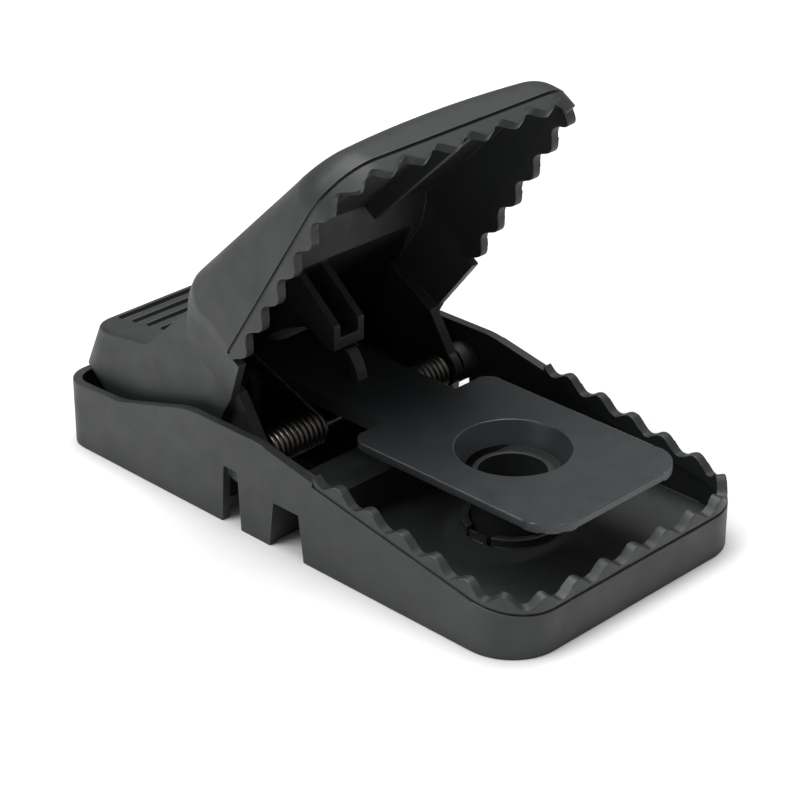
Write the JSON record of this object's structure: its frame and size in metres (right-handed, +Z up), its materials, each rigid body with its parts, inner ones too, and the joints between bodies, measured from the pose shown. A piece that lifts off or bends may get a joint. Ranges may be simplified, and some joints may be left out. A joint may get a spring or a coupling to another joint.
{
  "type": "snap mouse trap",
  "caption": "Jaw-type snap mouse trap, set open: toothed base tray, sprung toothed jaw with press handle, trigger pedal and bait cup.",
  "frame": {"origin": "centre of the base's footprint, on the surface the trap stands on", "axes": "+Z up, +X from the press handle towards the mouth, +Y across the trap"},
  "size_m": [0.141, 0.075, 0.0931],
  "materials": {
    "black_plastic": "fine matt moulded",
    "pedal_plastic": "slightly smoother moulded",
    "pin_steel": "drawn wire",
    "spring_steel": "oil-darkened spring wire"
  },
  "bodies": {
    "base": {"base_tray": "black_plastic", "hinge_pin": "pin_steel", "pedal_pin": "pin_steel", "torsion_spring_left": "spring_steel", "torsion_spring_right": "spring_steel"},
    "jaw": {"upper_jaw": "black_plastic"},
    "pedal": {"trigger_pedal": "pedal_plastic"},
    "cup": {"bait_cup": "black_plastic"}
  },
  "joints": [
    {"name": "jaw_hinge", "type": "hinge", "parent": "base", "child": "jaw", "pos_m": [-0.0125, 0, 0.0148], "axis": [0, 1, 0], "range_deg": [0, 66.6], "deforming": ["torsion_spring_left", "torsion_spring_right"]},
    {"name": "pedal_pivot", "type": "hinge", "parent": "base", "child": "pedal", "pos_m": [-0.034, 0, 0.0195], "axis": [0, 1, 0], "range_deg": [0, 2.66]},
    {"name": "bait_cup_twist", "type": "hinge", "parent": "base", "child": "cup", "pos_m": [0.0355, 0, 0], "axis": [0, 0, 1], "range_deg": [0, 40]}
  ],
  "couplings": [
    {"joint": "pedal_pivot", "follows": "jaw_hinge", "ratio": 0.04}
  ]
}
